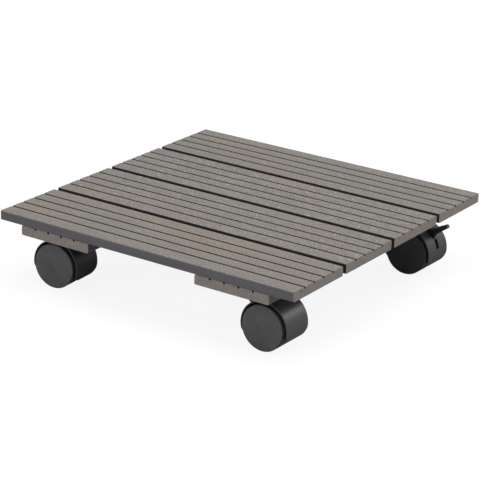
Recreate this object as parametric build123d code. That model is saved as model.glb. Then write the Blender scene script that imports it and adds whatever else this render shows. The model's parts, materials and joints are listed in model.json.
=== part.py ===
from build123d import *
from math import asin, atan2, cos, degrees, radians, sin
import os

# Rolling plant caddy: four grooved composite slats screwed to two cross battens,
# carried on four twin-wheel swivel casters. The two rear casters have a brake lever.
# Frame: origin on the floor under the middle of the deck, +X to the right along the
# slats, +Y from the front edge to the back, +Z up. Lengths are millimetres.

# Deck boards: slats on top, the same grooved stock across underneath
slat_length = 300.0
board_width = 72.0
board_thickness = 8.4
slat_gap = 4.8
slat_names = ["slat_front", "slat_middle_front", "slat_middle_back", "slat_back"]
batten_inset = 23.4
groove_count = 4
groove_pitch = 13.9
groove_width = 2.1
groove_floor_width = 1.3
groove_depth = 1.4
board_edge_chamfer = 0.7

# Caster layout: each plate was screwed on by hand, a little off its batten's middle line
caster_from_end = 41.0
plate_shift = {
    "front_right": (-3.7, -1.2),
    "front_left": (-1.6, 1.4),
    "rear_right": (1.2, 0.8),
    "rear_left": (0.0, 0.0),
}
caster_height = 52.2
trail = 20.0
rest_angle = {
    "front_right": -0.3,
    "front_left": 183.9,
    "rear_right": -1.0,
    "rear_left": 177.0,
}

# Wheels: hollow mouldings, closed outside and open towards the web
wheel_radius = 20.0
caster_width = 36.0
wheel_face_wall = 2.2
wheel_rim_wall = 2.6
wheel_face_drop = 0.2
wheel_edge_round = 0.4
wheel_side_clearance = 0.5
hub_radius = 5.5
hub_mark_radius = 4.4
hub_mark_depth = 0.2
spoke_count = 6
spoke_thickness = 1.4
spoke_height = 6.0
tooth_count = 24
tooth_height = 1.0
tooth_length = 5.0
tooth_tip_width = 0.7
moulded_root = 0.3

# Axle
axle_radius = 3.0
axle_snap_groove_depth = 0.4
axle_snap_groove_width = 1.6
axle_snap_from_end = 2.2
axle_end_chamfer = 0.6

# Hood: one moulding with shell, middle web, axle boss and swivel head
hood_radius = 22.8
hood_wall = 1.6
hood_rim_wall = 1.0
hood_rim_depth = 3.0
hood_back_angle = -23.5
hood_front_angle = 210.0
hood_lip_arc = 14.0
hood_lip_clearance = 0.5
hood_corner_round = 7.5
hood_edge_round = 0.4
wheel_proud = 2.4
web_thickness = 6.0
braked_web_thickness = 6.8
axle_boss_radius = 6.0
head_radius = 7.5
head_waist = 38.0
head_foot = 32.5
head_foot_radius = 3.5
head_top_chamfer = 0.8
neck_width = 8.0
neck_reach = 7.0
neck_drop = 3.0

# Mounting plate, swivel stem, washer and snap ring
plate_side = 38.0
plate_thickness = 2.0
plate_corner = 5.0
plate_hole_pitch = 28.0
stem_radius = 4.0
stem_rivet_radius = 5.4
stem_rivet_depth = 1.4
stem_reach = 13.5
stem_end_chamfer = 0.6
washer_radius = 7.2
washer_thickness = 1.2
ring_wire = 1.0
ring_radial = 1.2
ring_from_stem_end = 4.2
ring_gap_angle = 50.0

# Brake lever, in the plane of the web of the two rear casters
lever_pivot_back = 6.0
lever_pivot_up = 7.0
lever_reach = 32.2
lever_angle = 30.0
lever_offset = 5.1
lever_travel = 26.0
lever_plate = 3.0
lever_hub_radius = 3.4
lever_root_from = 11.0
lever_root_height = 6.8
lever_arm_height = 3.6
lever_pad_width = 4.4
lever_pad_from = 17.0
lever_pad_corner = 1.0
gusset_to = 20.5
gusset_foot = 13.6
gusset_drop = 2.2
gusset_curve = 7.9
shoe_distance = 6.3
shoe_lead = 78.3
shoe_radius = 1.2
shoe_width = 16.4
lever_pin_radius = 1.5
lever_pin_chamfer = 0.3
ear_radius = 3.1
ear_reach = 5.7
opening_width = 6.6
opening_depth = 2.0
opening_low_angle = 40.0
opening_high_angle = 62.5
slot_width = 4.2
slot_low_angle = 10.0

# Screws
plate_screw_length = 12.0
plate_screw_head_radius = 3.4
plate_screw_head_height = 2.2
plate_screw_head_round = 1.0
slat_screw_length = 14.0
slat_screw_head_radius = 3.6
slat_screw_head_depth = 2.1
screw_radius = 1.75
screw_point = 2.5
screw_tip_radius = 0.2
slat_screw_from_batten_edge = 10.0
slat_screw_from_slat_edge = 18.0

# Clearances
snug = 0.02
running = 0.05
face_running = 0.3
screw_in_wood = 0.03
screw_in_steel = 0.35
pocket_clearance = 0.3

# Modelling allowances: how far a cutting tool reaches past a piece, and pieces that are
# fused run into each other
past = 1.0
bite = 0.01

# Places that follow from the sizes above
slat_count = len(slat_names)
slat_screw_across = board_width / 2 - slat_screw_from_batten_edge
slat_screw_along = board_width / 2 - slat_screw_from_slat_edge
slat_pitch = board_width + slat_gap
deck_depth = slat_count * board_width + (slat_count - 1) * slat_gap
batten_bottom = caster_height
slat_bottom = batten_bottom + board_thickness
batten_x = slat_length / 2 - batten_inset - board_width / 2
caster_y = deck_depth / 2 - caster_from_end
web_half = web_thickness / 2
braked_widening = (braked_web_thickness - web_thickness) / 2
wheel_inner_face = web_half + wheel_side_clearance
wheel_outer_face = caster_width / 2
wheel_width = wheel_outer_face - wheel_inner_face
hood_half = wheel_outer_face - wheel_proud
hood_inner = hood_radius - hood_wall
plate_bottom = caster_height - plate_thickness
washer_bottom = plate_bottom - washer_thickness
head_top = washer_bottom - running
stem_bottom = plate_bottom - stem_reach
ring_bottom = stem_bottom + ring_from_stem_end
ring_outer = stem_radius - ring_wire / 2 + ring_radial
axle_half = wheel_outer_face - wheel_face_wall - face_running
caster_place = {}
for name, (shift_x, shift_y) in plate_shift.items():
    side_x = batten_x if name.endswith("right") else -batten_x
    side_y = caster_y if name.startswith("rear") else -caster_y
    caster_place[name] = (side_x + shift_x, side_y + shift_y)
braked = ["rear_right", "rear_left"]


def polar(radius, angle):
    return (radius * cos(radians(angle)), radius * sin(radians(angle)))


def sector(inner, outer, start, stop):
    """Part of a flat ring between two angles, as a face."""
    far = CenterArc((0, 0), outer, start, stop - start)
    near = CenterArc((0, 0), inner, start, stop - start)
    return make_face([far, Line(far @ 1, near @ 1), near, Line(near @ 0, far @ 0)])


def across(face, half_width):
    """Thicken a face drawn in the web's plane to both sides of it."""
    return extrude(Plane.XZ * face, half_width, both=True)


def along_axle(radius, low, high):
    """A round bar along the axle's direction."""
    return Pos(0, (low + high) / 2, 0) * Rot(X=90) * Cylinder(radius, high - low)


def upright(radius, low, high):
    return Pos(0, 0, (low + high) / 2) * Cylinder(radius, high - low)


# Deck boards

def board(length):
    """One length of grooved stock lying along X, its grooves up, its underside at z 0."""
    section = Rectangle(board_width, board_thickness, align=(Align.CENTER, Align.MIN))
    section = chamfer(section.vertices(), board_edge_chamfer)
    for i in range(groove_count):
        middle = (i - (groove_count - 1) / 2) * groove_pitch
        top = board_thickness
        groove = Polygon(
            (middle - groove_width / 2, top),
            (middle + groove_width / 2, top),
            (middle + groove_floor_width / 2, top - groove_depth),
            (middle - groove_floor_width / 2, top - groove_depth),
            align=None,
        )
        section -= groove
    return extrude(Plane.YZ * section, length / 2, both=True)


def slat_y(i):
    return (i - (slat_count - 1) / 2) * slat_pitch


def slat_screw_places():
    """Two screws at each crossing of a slat and a batten, set on a diagonal."""
    places = []
    for side in (-1, 1):
        for i in range(slat_count):
            for end in (-1, 1):
                x = side * batten_x + end * slat_screw_across
                places.append((x, slat_y(i) + end * slat_screw_along))
    return places


def plate_screw_places():
    half = plate_hole_pitch / 2
    places = []
    for x, y in caster_place.values():
        for corner_x in (-half, half):
            for corner_y in (-half, half):
                places.append((x + corner_x, y + corner_y))
    return places


def screw_shank(length, extra):
    """Shank and point of a screw that goes up from z 0, grown by extra for its hole."""
    straight = length - screw_point
    radius = screw_radius + extra
    tip = Pos(0, 0, straight + screw_point / 2) * Cone(radius, screw_tip_radius + extra, screw_point)
    return upright(radius, 0, straight) + tip


def countersunk_head(extra):
    depth = slat_screw_head_depth
    return Pos(0, 0, depth / 2) * Cone(slat_screw_head_radius + extra, screw_radius + extra, depth)


def slat_screw(extra=0.0):
    return countersunk_head(extra) + screw_shank(slat_screw_length, extra)


def plate_screw():
    head = upright(plate_screw_head_radius, -plate_screw_head_height, 0)
    head = fillet(head.faces().sort_by(Axis.Z)[0].edges(), plate_screw_head_round)
    return head + screw_shank(plate_screw_length, 0)


def drilled(boards):
    """Cut the screws' holes that the boards share."""
    slat_hole = slat_screw(screw_in_wood)
    plate_hole = screw_shank(plate_screw_length - plate_thickness, screw_in_wood)
    tools = [Pos(x, y, batten_bottom) * slat_hole for x, y in slat_screw_places()]
    tools += [Pos(x, y, batten_bottom) * plate_hole for x, y in plate_screw_places()]
    done = {}
    for name, solid in boards.items():
        box = solid.bounding_box()
        near = []
        for tool in tools:
            c = tool.bounding_box().center()
            if box.min.X < c.X < box.max.X and box.min.Y < c.Y < box.max.Y:
                near.append(tool)
        for tool in near:
            solid = solid - tool
        done[name] = solid
    return done


def deck():
    slat = board(slat_length)
    batten = Rot(Z=90) * board(deck_depth)
    boards = {}
    for i, name in enumerate(slat_names):
        boards[name] = Pos(0, slat_y(i), slat_bottom) * slat
    boards["batten_right"] = Pos(batten_x, 0, batten_bottom) * batten
    boards["batten_left"] = Pos(-batten_x, 0, batten_bottom) * batten
    pieces = drilled(boards)
    screw = slat_screw()
    pieces["slat_screws"] = Compound([Pos(x, y, batten_bottom) * screw for x, y in slat_screw_places()])
    screw = plate_screw()
    pieces["plate_screws"] = Compound([Pos(x, y, plate_bottom) * screw for x, y in plate_screw_places()])
    return pieces


# Fixed part of a caster: these stay square with the deck

def mounting_plate():
    outline = RectangleRounded(plate_side, plate_side, plate_corner)
    plate = Pos(0, 0, plate_bottom) * extrude(outline, plate_thickness)
    half = plate_hole_pitch / 2
    hole = upright(screw_radius + screw_in_steel, plate_bottom - past, caster_height + past)
    for x in (-half, half):
        for y in (-half, half):
            plate -= Pos(x, y, 0) * hole
    return plate - swivel_stem(snug)


def swivel_stem(extra=0.0):
    """Pin with a riveted head sunk flush in the plate; extra grows it for the plate's hole."""
    radius = stem_radius + extra
    waist = caster_height - stem_rivet_depth
    stem = upright(radius, stem_bottom, caster_height)
    head = Pos(0, 0, waist + stem_rivet_depth / 2)
    head *= Cone(radius, stem_rivet_radius + extra, stem_rivet_depth)
    stem += head
    if extra == 0.0:
        foot = stem.edges().sort_by(Axis.Z)[0]
        stem = chamfer(foot, stem_end_chamfer)
        low, high = ring_bottom - running, ring_bottom + ring_wire + running
        groove = upright(stem_radius + past, low, high)
        groove -= upright(stem_radius - ring_wire / 2 - running, low - past, high + past)
        stem -= groove
    return stem


def thrust_washer():
    washer = upright(washer_radius, washer_bottom, plate_bottom)
    return washer - upright(stem_radius + face_running, washer_bottom - past, plate_bottom + past)


def stem_ring():
    """Split spring ring in the stem's groove, which keeps the hood on the stem."""
    inner = stem_radius - ring_wire / 2
    face = sector(inner, ring_outer, ring_gap_angle / 2, 360 - ring_gap_angle / 2)
    return Pos(0, 0, ring_bottom) * extrude(face, ring_wire)


# Swivelling part of a caster, drawn with the axle through the origin along Y and the
# swivel axis at x = -trail

def wheel():
    """Hollow wheel on the +Y side of the web, its closed face outwards."""
    inside = wheel_outer_face - wheel_face_wall
    rim_inner = wheel_radius - wheel_rim_wall
    edge = wheel_outer_face - wheel_face_drop
    tread_end = edge - wheel_edge_round
    corner = RadiusArc(
        (wheel_radius - wheel_edge_round, edge), (wheel_radius, tread_end), -wheel_edge_round
    )
    profile = [
        Line((0, wheel_outer_face - hub_mark_depth), (hub_mark_radius, wheel_outer_face - hub_mark_depth)),
        Line((hub_mark_radius, wheel_outer_face - hub_mark_depth), (hub_mark_radius, wheel_outer_face)),
        ThreePointArc(
            (hub_mark_radius, wheel_outer_face),
            ((hub_mark_radius + wheel_radius) / 2, wheel_outer_face - wheel_face_drop * 0.3),
            (wheel_radius - wheel_edge_round, edge),
        ),
        corner,
        Line((wheel_radius, tread_end), (wheel_radius, wheel_inner_face)),
        Line((wheel_radius, wheel_inner_face), (rim_inner, wheel_inner_face)),
        Line((rim_inner, wheel_inner_face), (rim_inner, inside)),
        Line((rim_inner, inside), (hub_radius, inside)),
        Line((hub_radius, inside), (hub_radius, wheel_inner_face)),
        Line((hub_radius, wheel_inner_face), (0, wheel_inner_face)),
        Line((0, wheel_inner_face), (0, wheel_outer_face - hub_mark_depth)),
    ]
    body = revolve(make_face(profile), Axis.Y)
    body -= along_axle(axle_radius + running, wheel_inner_face - past, inside)
    for i in range(spoke_count):
        spoke = Pos((hub_radius + rim_inner) / 2, inside - spoke_height / 2 + bite, 0)
        spoke *= Box(rim_inner - hub_radius + 2 * moulded_root, spoke_height, spoke_thickness)
        body += Rot(Y=i * 360 / spoke_count) * spoke
    body += snap_bead()
    return body + brake_teeth(rim_inner)


def snap_bead():
    """Bead inside the hub that clicks into the axle's end groove."""
    middle = axle_half - axle_snap_from_end
    half = axle_snap_groove_width / 2 - pocket_clearance
    bead = along_axle(axle_radius + 2 * running, middle - half, middle + half)
    height = axle_snap_groove_depth - 2 * running
    return bead - along_axle(axle_radius - height, middle - half - past, middle + half + past)


def brake_teeth(rim_inner):
    """Ring of teeth inside the open edge of the rim, which the brake shoe catches."""
    root = rim_inner + moulded_root
    root_half = 0.9 * root * sin(radians(180 / tooth_count))
    tip = rim_inner - tooth_height
    tooth = Polygon(
        (root, root_half),
        (tip, tooth_tip_width / 2),
        (tip, -tooth_tip_width / 2),
        (root, -root_half),
        align=None,
    )
    middle = wheel_inner_face + tooth_length / 2 + bite
    tooth = Pos(0, middle, 0) * extrude(Plane.XZ * tooth, tooth_length / 2, both=True)
    return Compound([Rot(Y=i * 360 / tooth_count) * tooth for i in range(tooth_count)])


def axle(widening=0.0):
    end = axle_half + widening
    bar = along_axle(axle_radius, -end, end)
    bar = chamfer(bar.edges().filter_by(GeomType.CIRCLE), axle_end_chamfer)
    middle = end - axle_snap_from_end
    half = axle_snap_groove_width / 2
    for side in (-1, 1):
        low, high = side * middle - half, side * middle + half
        groove = along_axle(axle_radius + past, low, high)
        bar -= groove - along_axle(axle_radius - axle_snap_groove_depth, low - past, high + past)
    return bar


def hood_shell(half):
    """Curved cover over both wheels, thick at its lower ends and thin along its side rims."""
    lip_radius = wheel_radius + hood_lip_clearance
    lip_back = hood_back_angle + hood_lip_arc
    lip_front = hood_front_angle - hood_lip_arc
    outer = CenterArc((0, 0), hood_radius, hood_back_angle, hood_front_angle - hood_back_angle)
    inner = CenterArc((0, 0), hood_inner, lip_back, lip_front - lip_back)
    front = CenterArc((0, 0), lip_radius, lip_front, hood_lip_arc)
    back = CenterArc((0, 0), lip_radius, hood_back_angle, hood_lip_arc)
    steps = [
        Line(outer @ 1, front @ 1),
        Line(front @ 0, inner @ 1),
        Line(inner @ 0, back @ 1),
        Line(back @ 0, outer @ 0),
    ]
    shell = across(make_face([outer, inner, front, back] + steps), half)
    ends = [e for e in shell.edges().filter_by(GeomType.LINE)
            if abs(e.length - (hood_radius - lip_radius)) < bite]
    shell = fillet(ends, hood_corner_round)
    rims = [e for e in shell.edges().filter_by(GeomType.CIRCLE)
            if abs(e.radius - hood_radius) < bite and abs(abs(e.center().Y) - half) < bite]
    shell = fillet(rims, hood_edge_round)
    thinning = across(sector(hood_inner - past, hood_radius - hood_rim_wall, lip_back, lip_front), hood_rim_depth)
    for side in (-1, 1):
        shell -= Pos(0, side * half, 0) * thinning
    return shell


def hood_web(half):
    """Middle wall between the wheels, down to the axle boss."""
    reach = hood_inner + hood_wall / 2
    arc = CenterArc((0, 0), reach, hood_back_angle, hood_front_angle - hood_back_angle)
    low = -axle_boss_radius
    back = Line(arc @ 0, (axle_boss_radius / 2, low))
    bottom = Line((axle_boss_radius / 2, low), (-axle_boss_radius / 2, low))
    front = Line((-axle_boss_radius / 2, low), arc @ 1)
    return across(make_face([arc, front, bottom, back]) + Circle(axle_boss_radius), half)


def swivel_head():
    """Round head about the swivel axis, tapering into the shell below its waist."""
    top = head_top - wheel_radius
    waist = head_waist - wheel_radius
    foot = head_foot - wheel_radius
    section = Polygon(
        (0, foot),
        (head_foot_radius, foot),
        (head_radius, waist),
        (head_radius, top - head_top_chamfer),
        (head_radius - head_top_chamfer, top),
        (0, top),
        align=None,
    )
    return Pos(-trail, 0, 0) * revolve(Plane.XZ * section, Axis.Z)


def hood_neck():
    """Rib that carries the head back on to the crown of the shell."""
    top = head_top - wheel_radius - neck_drop
    section = Polygon(
        (-trail, top),
        (-trail + head_radius, top),
        (neck_reach, hood_radius - hood_wall / 2),
        (-trail, 0),
        align=None,
    )
    return across(section, neck_width / 2)


def stem_socket():
    """Blind bore for the stem, with the groove that its spring ring sits in."""
    bottom = stem_bottom - face_running - wheel_radius
    bore = upright(stem_radius + running, bottom, head_top - wheel_radius + past)
    low = ring_bottom - pocket_clearance - wheel_radius
    high = ring_bottom + ring_wire + pocket_clearance - wheel_radius
    return Pos(-trail, 0, 0) * (bore + upright(ring_outer + pocket_clearance, low, high))


def hood(widening=0.0):
    web = web_half + widening
    shell = hood_half + widening
    body = swivel_head() + hood_neck() + hood_web(web)
    for side in (-1, 1):
        near, far = sorted((side * web, side * (shell + past)))
        body -= along_axle(hood_inner, near, far)
    body += hood_shell(shell)
    return body - along_axle(axle_radius + snug, -web - past, web + past) - stem_socket()


# Brake: the lever turns on a pin in the web, and its shoe reaches into both wheels

def at_pivot(shape):
    return Pos(lever_pivot_back, 0, lever_pivot_up) * shape


def turned(shape, angle):
    """Turn a shape that was drawn along +X up by an angle, about Y."""
    return Rot(Y=-angle) * shape


def lever_pocket():
    """Space in the web for the lever's whole travel."""
    half = lever_plate / 2 + pocket_clearance
    hub = shoe_distance + shoe_radius + pocket_clearance
    slot_x, slot_z = polar(hood_radius, slot_low_angle)
    low = degrees(atan2(slot_z - lever_pivot_up, slot_x - lever_pivot_back))
    corner_up = lever_offset + lever_root_height / 2
    spread = degrees(asin(pocket_clearance / hub))
    high = lever_angle + degrees(atan2(corner_up, lever_root_from)) + spread
    return at_pivot(across(sector(bite, 2 * hood_radius, low, high) + Circle(hub), half))


def shoe_window():
    """Slot through the web's cheeks in which the shoe swings."""
    start = lever_angle + shoe_lead
    spread = degrees((shoe_radius + pocket_clearance) / shoe_distance)
    inner = shoe_distance - shoe_radius - pocket_clearance
    outer = shoe_distance + shoe_radius + pocket_clearance
    window = sector(inner, outer, start - lever_travel - spread, start + spread)
    return at_pivot(across(window, web_half + braked_widening + past))


def braked_hood():
    body = hood(braked_widening)
    low, high = hood_inner - opening_depth, hood_radius + past
    body -= across(sector(low, high, opening_low_angle, opening_high_angle), opening_width / 2)
    body -= across(sector(low, high, slot_low_angle, opening_low_angle + 1), slot_width / 2)
    body -= lever_pocket()
    body -= shoe_window()
    inner = lever_plate / 2 + pocket_clearance
    for side in (-1, 1):
        near, far = sorted((side * inner, side * ear_reach))
        body += at_pivot(along_axle(ear_radius, near, far))
    return body - at_pivot(along_axle(lever_pin_radius + snug, -ear_reach - past, ear_reach + past))


def lever_side_view():
    """Arm and gusset from the side, the pivot at the origin and the arm along +X."""
    tip = lever_arm_height / 2
    end = lever_reach - tip
    root_up = lever_offset + lever_root_height / 2
    taper = (lever_root_height - lever_arm_height) / 2 / (end - lever_root_from)
    gusset_up = lever_offset - tip - taper * (end - gusset_to)
    return make_face([
        Line((0, 0), (gusset_foot, -gusset_drop)),
        RadiusArc((gusset_foot, -gusset_drop), (gusset_to, gusset_up), gusset_curve),
        Line((gusset_to, gusset_up), (end, lever_offset - tip)),
        ThreePointArc((end, lever_offset - tip), (lever_reach, lever_offset), (end, lever_offset + tip)),
        Line((end, lever_offset + tip), (lever_root_from, root_up)),
        Line((lever_root_from, root_up), (0, 0)),
    ])


def lever_pad(side_view):
    """Wider outer part of the arm, its inner end rounded."""
    length = lever_reach - lever_pad_from
    area = Pos(lever_pad_from + length / 2, lever_offset) * Rectangle(length, 2 * lever_root_height)
    pad = across(side_view & area, lever_pad_width / 2)
    inner = pad.faces().sort_by(Axis.X)[0]
    return fillet(inner.edges().filter_by(Axis.Z), lever_pad_corner)


def brake_lever():
    """Arm with a foot pad, a curved gusset under it, a hub on the pin and the shoe bar."""
    shoe_x, shoe_z = polar(shoe_distance, shoe_lead)
    link = make_face(Polyline(
        (-lever_pin_radius, 0),
        (lever_hub_radius, 0),
        (shoe_x + shoe_radius, shoe_z),
        (shoe_x - shoe_radius, shoe_z),
        (-lever_pin_radius, 0),
    ))
    side_view = lever_side_view()
    plate = across(side_view + link + Circle(lever_hub_radius), lever_plate / 2)
    shoe = Pos(shoe_x, 0, shoe_z) * along_axle(shoe_radius, -shoe_width / 2, shoe_width / 2)
    lever = plate + lever_pad(side_view) + shoe
    lever -= along_axle(lever_pin_radius + running, -shoe_width, shoe_width)
    return at_pivot(turned(lever, lever_angle))


def lever_pin():
    pin = along_axle(lever_pin_radius, -ear_reach, ear_reach)
    pin = chamfer(pin.edges().filter_by(GeomType.CIRCLE), lever_pin_chamfer)
    return at_pivot(pin)


# Assembly

def casters():
    fixed = {
        "mounting_plate": mounting_plate(),
        "swivel_stem": swivel_stem(),
        "thrust_washer": thrust_washer(),
        "stem_ring": stem_ring(),
    }
    one_wheel = wheel()
    other_wheel = Rot(Z=180) * one_wheel
    pieces = {}
    for name, (x, y) in caster_place.items():
        for part_name, shape in fixed.items():
            pieces[f"{name}_{part_name}"] = Pos(x, y, 0) * shape
        turn = Pos(x, y, 0) * Rot(Z=rest_angle[name]) * Pos(trail, 0, wheel_radius)
        widening = braked_widening if name in braked else 0.0
        pieces[f"{name}_hood"] = turn * (braked_hood() if name in braked else hood())
        pieces[f"{name}_axle"] = turn * axle(widening)
        towards_back = Pos(0, widening, 0) * one_wheel
        towards_front = Pos(0, -widening, 0) * other_wheel
        turned_round = cos(radians(rest_angle[name])) * y < 0
        outer, inner = (towards_front, towards_back) if turned_round else (towards_back, towards_front)
        pieces[f"{name}_outer_wheel"] = turn * outer
        pieces[f"{name}_inner_wheel"] = turn * inner
        if name in braked:
            pieces[f"{name}_brake_lever"] = turn * brake_lever()
            pieces[f"{name}_lever_pin"] = turn * lever_pin()
    return pieces


pieces = deck() | casters()
os.makedirs("parts", exist_ok=True)
for name, shape in pieces.items():
    export_step(shape, f"parts/{name}.step")
print(len(pieces), "pieces, deck", slat_length, "by", deck_depth, "mm, height", slat_bottom + board_thickness)
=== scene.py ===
# %% [markdown]
# # A rolling plant caddy, dressed for its picture
# The caddy is a square deck of four grooved boards on two battens, with a hooded twin-wheel
# caster under each corner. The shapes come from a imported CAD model, so this lesson is about
# what CAD can't give: the camera, the light, the finish of every part and the heads of the
# small screws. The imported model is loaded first. Each of its pieces is an object that sits at
# the origin, with its real place in its mesh, in metres: +X right, +Y back, +Z up from the
# floor.

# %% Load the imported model
import json
from math import atan2, cos, pi, radians, sin

import bpy
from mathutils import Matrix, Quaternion, Vector


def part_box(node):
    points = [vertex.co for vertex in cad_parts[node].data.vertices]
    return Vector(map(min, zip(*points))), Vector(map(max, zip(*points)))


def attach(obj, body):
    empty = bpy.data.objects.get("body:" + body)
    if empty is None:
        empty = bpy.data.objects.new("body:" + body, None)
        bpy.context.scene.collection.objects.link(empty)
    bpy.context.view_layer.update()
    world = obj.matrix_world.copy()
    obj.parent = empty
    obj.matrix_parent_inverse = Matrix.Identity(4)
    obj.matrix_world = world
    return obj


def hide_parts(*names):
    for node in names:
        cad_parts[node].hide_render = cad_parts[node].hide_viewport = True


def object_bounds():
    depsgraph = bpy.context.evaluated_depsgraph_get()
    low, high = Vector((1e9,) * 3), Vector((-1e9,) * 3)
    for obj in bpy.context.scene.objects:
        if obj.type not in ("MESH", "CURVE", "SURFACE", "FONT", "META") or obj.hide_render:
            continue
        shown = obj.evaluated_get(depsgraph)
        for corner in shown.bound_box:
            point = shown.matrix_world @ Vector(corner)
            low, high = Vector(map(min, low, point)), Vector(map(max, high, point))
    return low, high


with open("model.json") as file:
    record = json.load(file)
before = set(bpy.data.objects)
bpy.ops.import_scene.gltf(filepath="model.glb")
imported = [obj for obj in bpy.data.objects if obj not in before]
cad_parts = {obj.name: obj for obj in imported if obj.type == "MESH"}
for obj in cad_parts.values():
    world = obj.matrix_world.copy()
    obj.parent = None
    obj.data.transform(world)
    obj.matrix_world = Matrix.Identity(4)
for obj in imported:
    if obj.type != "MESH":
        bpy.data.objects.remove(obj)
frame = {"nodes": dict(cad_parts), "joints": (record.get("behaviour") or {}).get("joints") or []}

cad_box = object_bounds()
nodes = frame["nodes"]
scene = bpy.context.scene

# %% [markdown]
# ## The camera
# The picture was taken from above the front right corner with a long lens, so the deck's edges
# hardly converge. A camera could be given by its place and three angles, but it is easier to
# check when it is written as a photographer would say it: the point it looks at, how far away
# it stands, its bearing and height angle, and its tilt. The point looked at is on the deck's
# top, a little right of the middle and towards the front.

# %% Place the camera
deck_top = cad_box[1].z
look_at = Vector((0.0510, -0.0819, deck_top))
camera_distance = 1.6226
camera_bearing = radians(34.018)
camera_height_angle = radians(20.523)
camera_tilt = radians(1.707)
sensor_width = 36.0
lens_length = 146.75
nearest_seen = 0.1

towards_camera = Vector((
    sin(camera_bearing) * cos(camera_height_angle),
    -cos(camera_bearing) * cos(camera_height_angle),
    sin(camera_height_angle),
))
camera_data = bpy.data.cameras.new("camera")
camera_data.sensor_width = sensor_width
camera_data.lens = lens_length
camera_data.clip_start = nearest_seen
camera = bpy.data.objects.new("camera", camera_data)
scene.collection.objects.link(camera)
camera.location = look_at + towards_camera * camera_distance
camera.rotation_mode = "QUATERNION"
level_view = towards_camera.to_track_quat("Z", "Y")
camera.rotation_quaternion = level_view @ Quaternion((0, 0, 1), camera_tilt)
scene.camera = camera
print("camera at", camera.location)

# %% [markdown]
# ## Small helpers for materials
# Every finish below is a network of shader nodes. Written out link by link, a network is long
# and hard to follow, so two helpers do the wiring: one adds a node, and one fills its sockets
# with a number, a colour or another node's output. The rest are names for common nodes.

# %% Add nodes and do sums with them
def fill(node, sockets):
    """Give each named or numbered socket a plain value, or link an output to it."""
    for key, value in sockets.items():
        socket = node.inputs[key]
        if isinstance(value, bpy.types.NodeSocket):
            node.id_data.links.new(value, socket)
        else:
            socket.default_value = value
    return node


def add(tree, kind, sockets=None, **settings):
    node = tree.nodes.new("ShaderNode" + kind)
    for key, value in settings.items():
        setattr(node, key, value)
    return fill(node, sockets or {})


def maths(tree, operation, first, second=0.0):
    return add(tree, "Math", {0: first, 1: second}, operation=operation).outputs[0]


def remap(tree, value, low, high, out_low=0.0, out_high=1.0):
    """Stretch a range of values over another, and stop at its ends."""
    sockets = {"Value": value, "From Min": low, "From Max": high}
    sockets.update({"To Min": out_low, "To Max": out_high})
    return add(tree, "MapRange", sockets).outputs[0]


def swing(tree, pattern, reach, amount, middle=1.0):
    """Turn a noise around 0.5 into a value that swings by an amount to both sides of a middle."""
    return remap(tree, pattern, 0.5 - reach, 0.5 + reach, middle - amount, middle + amount)


print("sums ready")

# %% Blend colours and start a material
def blend_colour(tree, factor, first, second, mode="MIX"):
    node = add(tree, "Mix", {"Factor": factor}, data_type="RGBA", blend_type=mode)
    for index, value in ((6, first), (7, second)):
        if isinstance(value, bpy.types.NodeSocket):
            tree.links.new(value, node.inputs[index])
        else:
            node.inputs[index].default_value = (*value, 1.0)
    return node.outputs[2]


def toned(tree, colour, tone):
    """A colour made lighter or darker by a number around 1."""
    grey = add(tree, "CombineColor", {0: tone, 1: tone, 2: tone}).outputs[0]
    return blend_colour(tree, 1.0, colour, grey, "MULTIPLY")


def start_material(name):
    material = bpy.data.materials.new(name)
    material.use_nodes = True
    tree = material.node_tree
    return material, tree, tree.nodes["Principled BSDF"]


print("colours ready")

# %% [markdown]
# ## Patterns that stay on their piece
# Wood flour, saw marks and moulded grain are all noises here. They could be painted on an
# image, but a noise has no seams and no size. Patterns read Object coordinates, which are in
# metres, so a noise with a scale of 1000 has features about a millimetre wide. A pattern that
# runs along a board needs that board's own centre and direction, which two Mapping nodes give.
# Each finish keeps its noises in a table: how far each is stretched along X, Y and Z, its
# scale, detail and roughness, and a number that is added to the seed.

# %% Place and draw patterns
def placed(tree, centre, turn=0.0):
    """Object coordinates moved so that a piece's centre is the origin, then turned about Z."""
    moved = add(tree, "Mapping", {
        "Vector": add(tree, "TexCoord").outputs["Object"],
        "Location": [-value for value in centre],
    })
    turned = add(tree, "Mapping", {"Vector": moved.outputs[0], "Rotation": (0, 0, -turn)})
    return turned.outputs[0]


def noise(tree, place, scale, detail, roughness, seed):
    sockets = {"Vector": place, "W": seed, "Scale": scale}
    sockets.update({"Detail": detail, "Roughness": roughness})
    return add(tree, "TexNoise", sockets, noise_dimensions="4D").outputs["Fac"]


def draw_patterns(tree, place, table, seed):
    """Every noise of a finish's table, by its name."""
    drawn = {}
    for name, (stretch, scale, detail, roughness, step) in table.items():
        source = place
        if stretch:
            source = add(tree, "Mapping", {"Vector": place, "Scale": stretch}).outputs[0]
        drawn[name] = noise(tree, source, scale, detail, roughness, seed + step)
    return drawn


def roughen(tree, height, strength, distance):
    """A fine bump for a shader's Normal."""
    sockets = {"Height": height, "Strength": strength, "Distance": distance}
    return add(tree, "Bump", sockets).outputs[0]


print("patterns ready")

# %% [markdown]
# ## Light and floor
# The picture is a product shot on a white ground: soft light from a large source above, a
# little from the front and the sides, and much that the ground throws back up. The white comes
# from what the camera and the gloss see of the floor and the world, not from extra light. The
# ground is dark in the deck's shade, which is what makes the far wheels' faces nearly black.
# From below, the floor is clear, so that the underside can be looked at too.

# %% Make the floor and its white ground
floor_size = 12.0
bounced_albedo = 0.55
mirrored_albedo = 0.85
seen_albedo = 0.17
seen_glow = 0.89

bpy.ops.object.select_all(action="DESELECT")
bpy.ops.mesh.primitive_plane_add(size=floor_size)
floor = bpy.context.object
floor.name = "floor"

floor_material, tree, _ = start_material("pale_floor")
tree.nodes.clear()


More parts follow.
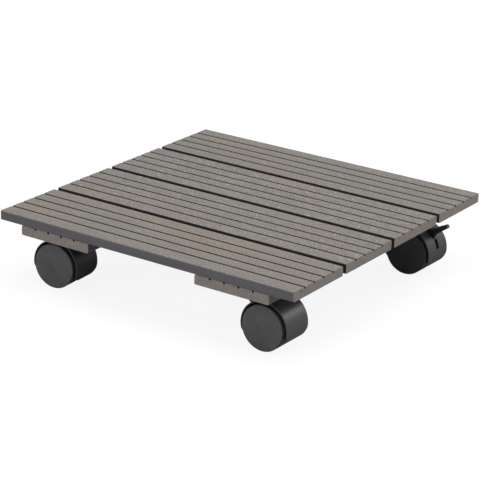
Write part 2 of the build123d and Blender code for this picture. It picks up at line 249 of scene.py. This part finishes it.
def ground(albedo, glow):
    """A floor of one reflectance that also glows by itself."""
    matt = add(tree, "BsdfDiffuse", {"Color": (albedo, albedo, albedo, 1)})
    lift = add(tree, "Emission", {"Color": (1, 1, 1, 1), "Strength": glow})
    return add(tree, "AddShader", {0: matt.outputs[0], 1: lift.outputs[0]}).outputs[0]


def shader_switch(tree, factor, first, second):
    return add(tree, "MixShader", {0: factor, 1: first, 2: second}).outputs[0]


def kinds_of_ray(tree):
    """1 for a camera ray, and 1 for a ray that a gloss or a glass sends out."""
    path = add(tree, "LightPath")
    glossy = path.outputs["Is Glossy Ray"]
    in_gloss = maths(tree, "MAXIMUM", glossy, path.outputs["Is Transmission Ray"])
    return path.outputs["Is Camera Ray"], in_gloss


seen, in_gloss = kinds_of_ray(tree)
bounced_ground = ground(bounced_albedo, 0.0)
mirrored_ground = ground(mirrored_albedo, 0.0)
unseen_ground = shader_switch(tree, in_gloss, bounced_ground, mirrored_ground)
either_ground = shader_switch(tree, seen, unseen_ground, ground(seen_albedo, seen_glow))
from_below = add(tree, "NewGeometry").outputs["Backfacing"]
clear = add(tree, "BsdfTransparent").outputs[0]
add(tree, "OutputMaterial", {"Surface": shader_switch(tree, from_below, either_ground, clear)})
floor.data.materials.append(floor_material)
print("floor", floor_size, "m across")

# %% Fill in with a pale world
fill_colour = (0.95, 0.97, 1.0, 1)
fill_strength = 0.22

world = bpy.data.worlds.new("studio")
scene.world = world
world.use_nodes = True
tree = world.node_tree
tree.nodes.clear()
dim = add(tree, "Background", {"Color": fill_colour, "Strength": fill_strength}).outputs[0]
white = add(tree, "Background", {"Color": (1, 1, 1, 1), "Strength": 1.0}).outputs[0]
shown_white = maths(tree, "MAXIMUM", *kinds_of_ray(tree))
add(tree, "OutputWorld", {"Surface": shader_switch(tree, shown_white, dim, white)})
print("world", world.name, "fills in at", fill_strength)

# %% Hang the soft lights
# Each has its place, its width, its power and its colour. All look at the floor's middle.
soft_lights = {
    "light_above": ((0.3, -0.3, 2.2), 1.8, 26.0, (1.0, 0.985, 0.965)),
    "light_front": ((-0.7, -2.1, 1.15), 1.3, 11.0, (1.0, 0.99, 0.985)),
    "light_right": ((2.2, 0.1, 1.35), 1.3, 3.5, (1.0, 0.99, 0.985)),
    "light_back_right": ((1.05, 1.98, 1.02), 1.1, 15.0, (1.0, 0.985, 0.98)),
}
for name, (place, width, power, colour) in soft_lights.items():
    data = bpy.data.lights.new(name, "AREA")
    data.shape = "SQUARE"
    data.size = width
    data.energy = power
    data.color = colour
    light = bpy.data.objects.new(name, data)
    scene.collection.objects.link(light)
    light.location = place
    light.rotation_mode = "QUATERNION"
    light.rotation_quaternion = Vector(place).to_track_quat("Z", "Y")
scene.view_settings.view_transform = "Standard"
print("lights", list(soft_lights))

# %% [markdown]
# ## The boards: wood-plastic composite
# The boards are extruded from wood flour and plastic. Their broad faces are brushed, which
# leaves a matt, warm grey surface with pale flecks and slow patches of brown. The long edges
# and the grooves keep the smooth dark skin of the extrusion, and the sawn ends show the
# lighter core; in the grooves the skin is painted near black, as painted shade in the recesses.
# The faces could be chosen by hand and given three materials, but which finish a point has
# follows from where it lies on the board, so the network works that out from its place and its
# normal. The edges that face another board are painted much darker, as painted shade in the
# narrow gaps between the boards.

# %% Set the board's sizes and colours
board_thickness = 0.0084
board_width = 0.0720
groove_depth = 0.0014
skin_depth = 0.00015
grooves_from_edge = 0.0015
groove_reach = 1.2 * groove_depth
end_facing = 0.9
worn_from_end = 0.0014
worn_to_end = 0.0004
worn_from_face = 0.0009

brushed_grey = (0.292, 0.273, 0.254)
brushed_brown = (0.320, 0.276, 0.238)
sawn_core = (0.318, 0.288, 0.266)
dark_skin = (0.149, 0.144, 0.152)
# The next two colours are painted shade, not the skin's own colour: near black in the grooves, and
# dark on the edges that face another board.
groove_painted_shade = (0.013, 0.011, 0.010)
gap_painted_shade = (0.030, 0.026, 0.024)
pale_flour = (0.62, 0.60, 0.56)
dark_pit = (0.12, 0.11, 0.10)
board_patterns = {
    "patches": ((7.0, 22.0, 22.0), 1.0, 3.0, 0.6, 0.0),
    "cloud": ((24.0, 70.0, 70.0), 1.0, 3.0, 0.6, 3.0),
    "streak": ((14.0, 900.0, 900.0), 1.0, 2.0, 0.6, 5.0),
    "grain": (None, 1100.0, 2.0, 0.7, 0.0),
    "speckle": ((620.0, 420.0, 620.0), 1.0, 2.0, 0.6, 7.0),
    "flour": ((560.0, 480.0, 560.0), 1.0, 1.0, 0.5, 9.0),
    "pits": (None, 620.0, 1.0, 0.5, 12.0),
    "saw_marks": ((1.0, 1500.0, 180.0), 1.0, 2.0, 0.5, 0.0),
}
print("board patterns", list(board_patterns))

# %% Work out where a point lies on a board
def times(tree, first, *others):
    """Masks and strengths multiplied together."""
    result = first
    for other in others:
        result = maths(tree, "MULTIPLY", result, other)
    return result


def board_masks(tree, place, length, lies_along_y, gap_sides):
    """1 on a sawn end, a brushed face, a groove, an edge in a gap, and a worn arris."""
    parts = add(tree, "SeparateXYZ", {0: place})
    normal = add(tree, "SeparateXYZ", {0: add(tree, "TexCoord").outputs["Normal"]})
    end_normal = maths(tree, "ABSOLUTE", normal.outputs["Y" if lies_along_y else "X"])
    sawn = maths(tree, "GREATER_THAN", end_normal, end_facing)

    half_thickness = board_thickness / 2
    height = maths(tree, "ABSOLUTE", maths(tree, "ADD", parts.outputs["Z"], half_thickness))
    brushed = maths(tree, "GREATER_THAN", height, half_thickness - skin_depth)
    across = maths(tree, "ABSOLUTE", parts.outputs["Y"])
    inside = maths(tree, "LESS_THAN", across, board_width / 2 - grooves_from_edge)
    shallow = maths(tree, "GREATER_THAN", parts.outputs["Z"], -groove_reach)
    groove = times(tree, inside, shallow, maths(tree, "SUBTRACT", 1.0, brushed))

    in_gap = times(
        tree,
        maths(tree, "GREATER_THAN", parts.outputs["Y"], gap_sides[0]),
        maths(tree, "LESS_THAN", parts.outputs["Y"], gap_sides[1]),
    )
    along = maths(tree, "ABSOLUTE", parts.outputs["X"])
    near_end = remap(tree, along, length / 2 - worn_from_end, length / 2 - worn_to_end)
    near_face = remap(
        tree, height, half_thickness - worn_from_face, half_thickness - skin_depth)
    arris = maths(tree, "MAXIMUM", near_end, near_face)
    open_arris = maths(tree, "SUBTRACT", 1.0, in_gap)
    return sawn, brushed, groove, in_gap, (arris, open_arris)


print("board masks ready")

# %% [markdown]
# The brushed face is built up in the order in which the eye finds it: grey or brown, then a
# fine uneven tone, then pale flecks of flour and a few dark pits. Skin and core get their own
# tones, and the masks choose between the three at the end.

# %% Colour the three surfaces of a board
brown_from = 0.62
brown_to = 0.86
brown_shift = 0.3
fleck_strength = 0.75
pit_strength = 0.6


def brushed_colour(tree, patterns, brownness):
    shift = brown_shift * brownness
    brown = remap(tree, patterns["patches"], brown_from - shift, brown_to - shift)
    colour = blend_colour(tree, brown, brushed_grey, brushed_brown)
    fine = swing(tree, patterns["grain"], 0.3, 0.24)
    tone = times(tree, fine, swing(tree, patterns["speckle"], 0.25, 0.30))
    tone = maths(tree, "ADD", tone, swing(tree, patterns["streak"], 0.3, 0.05, 0.0))
    tone = maths(tree, "ADD", tone, swing(tree, patterns["cloud"], 0.2, 0.06, 0.0))
    colour = toned(tree, colour, tone)
    flecks = remap(tree, patterns["flour"], 0.645, 0.70)
    colour = blend_colour(tree, times(tree, flecks, fleck_strength), colour, pale_flour)
    pits = remap(tree, patterns["pits"], 0.28, 0.21)
    return blend_colour(tree, times(tree, pits, pit_strength), colour, dark_pit)


def skin_colour(tree, patterns, groove, in_gap, arris, open_arris):
    streaky = swing(tree, patterns["streak"], 0.3, 0.16)
    tone = times(tree, streaky, swing(tree, patterns["speckle"], 0.25, 0.14))
    # Edges that face another board take the dark painted shade colour in place of the skin's own.
    skin = toned(tree, blend_colour(tree, in_gap, dark_skin, gap_painted_shade), tone)
    chipped = remap(tree, patterns["speckle"], 0.35, 0.65, 0.15, 0.85)
    worn = times(tree, arris, chipped, open_arris)
    skin = blend_colour(tree, worn, skin, sawn_core)
    # The grooves take the near-black painted shade colour.
    return blend_colour(tree, groove, skin, groove_painted_shade)


def core_colour(tree, patterns):
    sawn_tone = remap(tree, patterns["saw_marks"], 0.2, 0.8, 0.85, 1.12)
    tone = times(tree, sawn_tone, swing(tree, patterns["speckle"], 0.25, 0.20))
    return toned(tree, sawn_core, tone)


print("board colours ready")

# %% [markdown]
# The front board has a small dent in its sawn end, where the caddy was knocked. It could be
# cut into the mesh, but it is under a millimetre deep, so a mask around its place darkens the
# colour and lowers the bump.

# %% Put the board's finish together
dent_radius = 0.0011
dent_depth = 3.0
board_gloss = 0.16


def dent_mask(tree, point, seed):
    """1 in a small ragged dent about a point."""
    spot = add(tree, "TexCoord").outputs["Object"]
    offset = add(tree, "VectorMath", {0: spot, 1: point}, operation="DISTANCE").outputs["Value"]
    ragged = noise(tree, spot, 1500.0, 1.0, 0.5, seed)
    ragged = remap(tree, ragged, 0.2, 0.8, -dent_radius / 2, dent_radius / 2)
    return remap(tree, maths(tree, "ADD", offset, ragged), dent_radius, dent_radius * 0.6)


def board_finish(name, node, lies_along_y, brownness, gap_sides, seed, dent=None):
    material, tree, principled = start_material(name)
    low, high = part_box(node)
    middle = (low + high) / 2
    length = high.y - low.y if lies_along_y else high.x - low.x
    place = placed(tree, (middle.x, middle.y, high.z), pi / 2 if lies_along_y else 0.0)
    patterns = draw_patterns(tree, place, board_patterns, seed)
    sawn, brushed, groove, in_gap, arrises = board_masks(
        tree, place, length, lies_along_y, gap_sides)

    skin = skin_colour(tree, patterns, groove, in_gap, *arrises)
    colour = blend_colour(tree, brushed, skin, brushed_colour(tree, patterns, brownness))
    colour = blend_colour(tree, sawn, colour, core_colour(tree, patterns))
    rough = remap(tree, patterns["grain"], 0.3, 0.7, 0.72, 0.92)
    smooth = remap(tree, patterns["streak"], 0.3, 0.7, 0.42, 0.58)
    matt = maths(tree, "MAXIMUM", maths(tree, "MAXIMUM", brushed, sawn),
                 maths(tree, "MAXIMUM", groove, in_gap))
    roughness = add(tree, "Mix", {0: matt, 2: smooth, 3: rough}, data_type="FLOAT").outputs[0]
    height = maths(tree, "ADD", times(tree, patterns["grain"], 0.7),
                   times(tree, patterns["streak"], 0.4))
    if dent:
        hollow = dent_mask(tree, dent, seed)
        colour = blend_colour(tree, hollow, colour, dark_pit)
        height = maths(tree, "SUBTRACT", height, times(tree, hollow, dent_depth))
    bump = roughen(tree, height, 0.5, 0.0002)
    fill(principled, {"Base Color": colour, "Roughness": roughness, "Normal": bump})
    principled.inputs["Specular IOR Level"].default_value = board_gloss
    return material


print("board finish ready")

# %% [markdown]
# Each board gets its own network, because boards from one pack differ: some are browner, and
# each has its own seed. The gap sides say between which places across a board its edges face
# another board: behind the front slat's middle, on both sides of the middle slats, and so on.
# The battens' edges are open on both sides, so their gap is past the board.

# %% Dress the boards
def dress(node, material):
    """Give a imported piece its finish, in every slot it has."""
    mesh = nodes[node].data
    if not mesh.materials:
        mesh.materials.append(material)
    for index in range(len(mesh.materials)):
        mesh.materials[index] = material


past_edge = board_width / 2 + 0.001
both_sides = (-past_edge, past_edge)
no_side = (past_edge, past_edge)
slats = ["slat_front", "slat_middle_front", "slat_middle_back", "slat_back"]
battens = ["batten_left", "batten_right"]
brownness = [0.60, 0.40, 0.15, 0.35, 0.3, 0.3]
gap_sides = [(0.0, past_edge), both_sides, both_sides, (-past_edge, 0.0), no_side, no_side]
dent_from_corner = 0.0101
dent_below_top = 0.0021
seed_step = 7.3

front_low, front_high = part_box("slat_front")
corner_dent = (front_high.x, front_low.y + dent_from_corner, deck_top - dent_below_top)
for number, node in enumerate(slats + battens):
    dress(node, board_finish(
        "composite_" + node, node, node in battens, brownness[number], gap_sides[number],
        seed_step * number, corner_dent if node == "slat_front" else None))
print("boards dressed:", slats + battens)

# %% [markdown]
# ## The casters: moulded plastic
# Hoods, wheels and levers are moulded in near-black plastic with a fine spark-eroded grain, so
# their gloss is broad and soft. The insides of the hoods are matt and painted darker, and the
# treads are rougher and painted black, both as painted shade under the hoods. Both depend on the
# distance from the axle, so one plain material won't do: each hood and wheel gets its own
# network, centred on its axle. The front hoods and wheels are painted a little paler, as
# painted light.

# %% Define the moulded plastic
hood_inside_radius = 0.0217
tread_from_radius = 0.0190
tread_to_radius = 0.0199
hood_inside_painted_shade = (0.010, 0.010, 0.010)
tread_painted_shade = (0.019, 0.018, 0.018)
plastic_patterns = {
    "cloud": (None, 90.0, 3.0, 0.6, 0.0),
    "grain": (None, 1100.0, 3.0, 0.7, 2.0),
    "tread_mottle": ((60.0, 700.0, 60.0), 1.0, 4.0, 0.7, 4.0),
}


def moulded_plastic(name, colour, gloss, seed, kind="lever", centre=(0, 0, 0), turn=0.0):
    material, tree, principled = start_material(name)
    place = placed(tree, centre, turn)
    patterns = draw_patterns(tree, place, plastic_patterns, seed)
    clouded = swing(tree, patterns["cloud"], 0.2, 0.14)
    grained = swing(tree, patterns["grain"], 0.25, 0.34)
    shade = toned(tree, colour, times(tree, clouded, grained))
    rough = remap(tree, patterns["cloud"], 0.3, 0.7, gloss - 0.05, gloss + 0.06)

    parts = add(tree, "SeparateXYZ", {0: place})
    squares = [maths(tree, "POWER", parts.outputs[axis], 2.0) for axis in ("X", "Z")]
    radius = maths(tree, "SQRT", maths(tree, "ADD", *squares))
    if kind == "hood":
        # Painted shade: inside the hood's inner radius the colour is painted near black, for the
        # shade under the hood, and the surface is made rougher.
        inside = maths(tree, "LESS_THAN", radius, hood_inside_radius)
        shade = blend_colour(tree, inside, shade, hood_inside_painted_shade)
        rough = maths(tree, "ADD", rough, times(tree, inside, 0.4))
    if kind == "wheel":
        # Painted shade: the tread is painted near black, a little unevenly, for the shade under the
        # hood, and made rougher.
        tread = remap(tree, radius, tread_from_radius, tread_to_radius)
        shaded_tread = times(tree, tread, remap(tree, patterns["tread_mottle"], 0.35, 0.7, 1.0, 0.7))
        shade = blend_colour(tree, shaded_tread, shade, tread_painted_shade)
        rough = maths(tree, "ADD", rough, times(tree, tread, 0.25))
    bump = roughen(tree, patterns["grain"], 0.5, 0.00008)
    fill(principled, {"Base Color": shade, "Roughness": rough, "Normal": bump})
    return material


print("moulded plastic ready")

# %% Dress the hoods, wheels and levers
caster_places = ["front_right", "front_left", "rear_right", "rear_left"]
braked_places = ["rear_right", "rear_left"]
hood_charcoal = (0.037, 0.035, 0.036)
wheel_charcoal = (0.040, 0.036, 0.041)
lever_black = (0.026, 0.026, 0.027)
# Painted light: the front hoods and wheels are painted paler than the rear ones of the same
# plastic, for the brighter light on the front casters.
hood_painted_light = {"front_right": 0.016, "front_left": 0.008}
wheel_painted_light = {"front_right": 0.064, "front_left": 0.066}
rear_hood_gloss = 0.56
front_hood_gloss = 0.40
wheel_gloss = 0.48
lever_gloss = 0.42


def middle_of(node):
    low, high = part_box(node)
    return (low + high) / 2


for number, caster in enumerate(caster_places):
    hood_colour = [value + hood_painted_light.get(caster, 0.0) for value in hood_charcoal]
    wheel_colour = [value + wheel_painted_light.get(caster, 0.0) for value in wheel_charcoal]
    hood_gloss = front_hood_gloss if caster in hood_painted_light else rear_hood_gloss
    wheels = [f"{caster}_{side}_wheel" for side in ("outer", "inner")]
    spin = next(joint for joint in frame["joints"] if joint["child"] == wheels[0])
    turn = atan2(-spin["axis"][0], spin["axis"][1])
    axle = (middle_of(wheels[0]) + middle_of(wheels[1])) / 2
    dress(caster + "_hood", moulded_plastic(
        "hood_" + caster, hood_colour, hood_gloss, 3.1 * number, "hood", axle, turn))
    for side, wheel in enumerate(wheels):
        seed = 5.7 * number + 2.0 * side
        dress(wheel, moulded_plastic(
            "plastic_" + wheel, wheel_colour, wheel_gloss, seed, "wheel", middle_of(wheel), turn))
for caster in braked_places:
    lever = moulded_plastic("lever_" + caster, lever_black, lever_gloss, 31.0)
    dress(caster + "_brake_lever", lever)
print("plastic on", len(caster_places), "casters")

# %% [markdown]
# ## Metal and nylon
# Under the deck each caster has a plated plate and stem, a drawn steel axle and ring, and a
# nylon washer. Metal that is one plain colour looks like plastic, so the plating gets faint
# directional marks and a blotchy gloss. The washer is milky, and yellower in places.

# %% Define the metals and the washer's nylon
def steel(name, colour, gloss, mark_stretch, seed):
    """Plated or drawn steel: faint directional marks and a blotchy gloss."""
    material, tree, principled = start_material(name)
    patterns = draw_patterns(tree, placed(tree, (0, 0, 0)), {
        "marks": (mark_stretch, 1.0, 3.0, 0.6, 0.0),
        "blotches": (None, 140.0, 3.0, 0.6, 1.0),
    }, seed)
    marked = remap(tree, patterns["marks"], 0.3, 0.7, 0.9, 1.05)
    blotched = remap(tree, patterns["blotches"], 0.3, 0.7, -0.08, 0.05)
    shade = toned(tree, colour, maths(tree, "ADD", marked, blotched))
    dull = remap(tree, patterns["blotches"], 0.3, 0.7, gloss, gloss + 0.15)
    rough = maths(tree, "ADD", dull, remap(tree, patterns["marks"], 0.3, 0.7, 0.0, 0.06))
    bump = roughen(tree, patterns["marks"], 0.25, 0.00005)
    fill(principled, {"Base Color": shade, "Roughness": rough, "Normal": bump, "Metallic": 1.0})
    return material


def nylon(name, milky, yellowed, seed):
    material, tree, principled = start_material(name)
    patterns = draw_patterns(tree, placed(tree, (0, 0, 0)), {
        "cloud": (None, 200.0, 3.0, 0.6, 0.0),
        "grain": (None, 2500.0, 1.0, 0.5, 0.0),
    }, seed)
    shade = blend_colour(tree, remap(tree, patterns["cloud"], 0.35, 0.7), milky, yellowed)
    rough = remap(tree, patterns["cloud"], 0.3, 0.7, 0.36, 0.5)
    bump = roughen(tree, patterns["grain"], 0.2, 0.00004)
    fill(principled, {"Base Color": shade, "Roughness": rough, "Normal": bump})
    return material


zinc = steel("zinc_plate", (0.56, 0.57, 0.58), 0.34, (400.0, 60.0, 400.0), 1.0)
drawn = steel("drawn_steel", (0.46, 0.46, 0.47), 0.28, (900.0, 900.0, 80.0), 4.0)
washer_nylon = nylon("natural_nylon", (0.56, 0.55, 0.51), (0.47, 0.455, 0.41), 2.0)
print("materials", zinc.name, drawn.name, washer_nylon.name)

# %% Dress the metal and the nylon
caster_finishes = {
    "mounting_plate": zinc,
    "swivel_stem": zinc,
    "axle": drawn,
    "stem_ring": drawn,
    "thrust_washer": washer_nylon,
}
for caster in caster_places:
    for part, finish in caster_finishes.items():
        dress(f"{caster}_{part}", finish)
for caster in braked_places:
    dress(caster + "_lever_pin", drawn)
print("metal and nylon dressed")

# %% [markdown]
# ## The screws
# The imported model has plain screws. These are the same size and stand in the same holes, but
# have a real head: rounded or countersunk, with a cross recess. A screw could be drawn as an
# outline and spun, but its steps are few, so each kind is turned from a disc by pulling it up
# and narrowing it step by step. It is cut once, and then copied to every hole.

# %% Write the tools that make a screw
screw_sides = 32
cross_turn = 20
smooth_below = 35
recess_width = 0.00085
recess_length = 0.0034
recess_depth = 0.0013


def turned_screw(name, start_height, steps):
    """A round bar that starts as a disc; each step is a rise and the radius it ends with."""
    bpy.ops.object.select_all(action="DESELECT")
    radius = steps[0]
    bpy.ops.mesh.primitive_circle_add(
        vertices=screw_sides, radius=radius, fill_type="NGON", location=(0, 0, start_height))
    screw = bpy.context.object
    screw.name = name
    bpy.ops.object.transform_apply(location=True, rotation=True, scale=True)
    bpy.ops.object.mode_set(mode="EDIT")
    bpy.ops.mesh.select_all(action="SELECT")
    for rise, end_radius in steps[1:]:
        bpy.ops.mesh.extrude_region_move(TRANSFORM_OT_translate={"value": (0, 0, rise)})
        ratio = end_radius / radius
        bpy.ops.transform.resize(value=(ratio, ratio, 1))
        radius = end_radius
    bpy.ops.mesh.select_all(action="SELECT")
    bpy.ops.mesh.normals_make_consistent(inside=False)
    bpy.ops.object.mode_set(mode="OBJECT")
    return screw


def cut_cross(screw, face_height):
    """Cut the driver's cross into the head, which faces down."""
    for angle in (cross_turn, cross_turn + 90):
        bpy.ops.object.select_all(action="DESELECT")
        bpy.ops.mesh.primitive_cube_add(
            size=1, location=(0, 0, face_height), rotation=(0, 0, radians(angle)))
        bar = bpy.context.object
        bar.scale = (recess_length, recess_width, 2 * recess_depth)
        bpy.ops.object.transform_apply(location=True, rotation=True, scale=True)
        bpy.ops.object.select_all(action="DESELECT")
        screw.select_set(True)
        bpy.context.view_layer.objects.active = screw
        cut = screw.modifiers.new("cross", "BOOLEAN")
        cut.operation = "DIFFERENCE"
        cut.object = bar
        bpy.ops.object.modifier_apply(modifier=cut.name)
        bpy.data.objects.remove(bar)
    bpy.ops.object.shade_smooth_by_angle(angle=radians(smooth_below))


print("screw tools ready, cross", recess_length, "m long")

# %% Turn one screw of each kind
shank_radius = 0.00175
tip_radius = 0.0002
point_length = 0.0025
slat_screw_length = 0.014
plate_screw_length = 0.012
pan_height = 0.0022
sunk_radius = 0.0036
sunk_height = 0.0021

pan_steps = [
    0.0024,
    (0.0003, 0.0031),
    (0.0007, 0.0034),
    (0.0012, 0.0034),
    (0.00001, shank_radius),
    (plate_screw_length - point_length, shank_radius),
    (point_length, tip_radius),
]
sunk_steps = [
    sunk_radius,
    (sunk_height, shank_radius),
    (slat_screw_length - point_length - sunk_height, shank_radius),
    (point_length, tip_radius),
]
pan_screw = turned_screw("pan_screw", -pan_height, pan_steps)
cut_cross(pan_screw, -pan_height)
sunk_screw = turned_screw("sunk_screw", 0.0, sunk_steps)
cut_cross(sunk_screw, 0.0)
print("screw faces", len(pan_screw.data.polygons), len(sunk_screw.data.polygons))

# %% [markdown]
# The holes aren't measured again. Every crossing of a slat and a batten has two screws, on a
# slanting line across its middle, and every plate has four, at the corners of a square. So
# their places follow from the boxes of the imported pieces. All screws of a kind are joined,
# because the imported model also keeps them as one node.

# %% Copy the screws to their holes
slat_screw_from_batten_edge = 0.010
slat_screw_from_slat_edge = 0.018
plate_hole_pitch = 0.028


def copied(screw, name, places, node):
    """Copies of one screw at every place, joined as the piece that stands for a node."""
    bpy.ops.object.select_all(action="DESELECT")
    for place in places:
        one = screw.copy()
        one.data = screw.data.copy()
        scene.collection.objects.link(one)
        one.location = place
        one.select_set(True)
        bpy.context.view_layer.objects.active = one
    bpy.ops.object.join()
    piece = bpy.context.object
    bpy.ops.object.transform_apply(location=True, rotation=True, scale=True)
    piece.name = name
    piece.data.materials.clear()
    piece.data.materials.append(zinc)
    bpy.data.objects.remove(screw)
    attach(piece, "deck")
    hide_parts(node)
    print(piece.name, "made of", len(places), "screws")


batten_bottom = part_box("batten_left")[0].z
across = board_width / 2 - slat_screw_from_batten_edge
along = board_width / 2 - slat_screw_from_slat_edge
sunk_places = [
    (middle_of(batten).x + end * across, middle_of(slat).y + end * along, batten_bottom)
    for batten in battens for slat in slats for end in (-1, 1)
]
half_pitch = plate_hole_pitch / 2
plates = [f"{caster}_mounting_plate" for caster in caster_places]
pan_places = [
    (middle_of(plate).x + x * half_pitch, middle_of(plate).y + y * half_pitch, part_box(plate)[0].z)
    for plate in plates for x in (-1, 1) for y in (-1, 1)
]
copied(sunk_screw, "countersunk_screws", sunk_places, "slat_screws")
copied(pan_screw, "pan_head_screws", pan_places, "plate_screws")
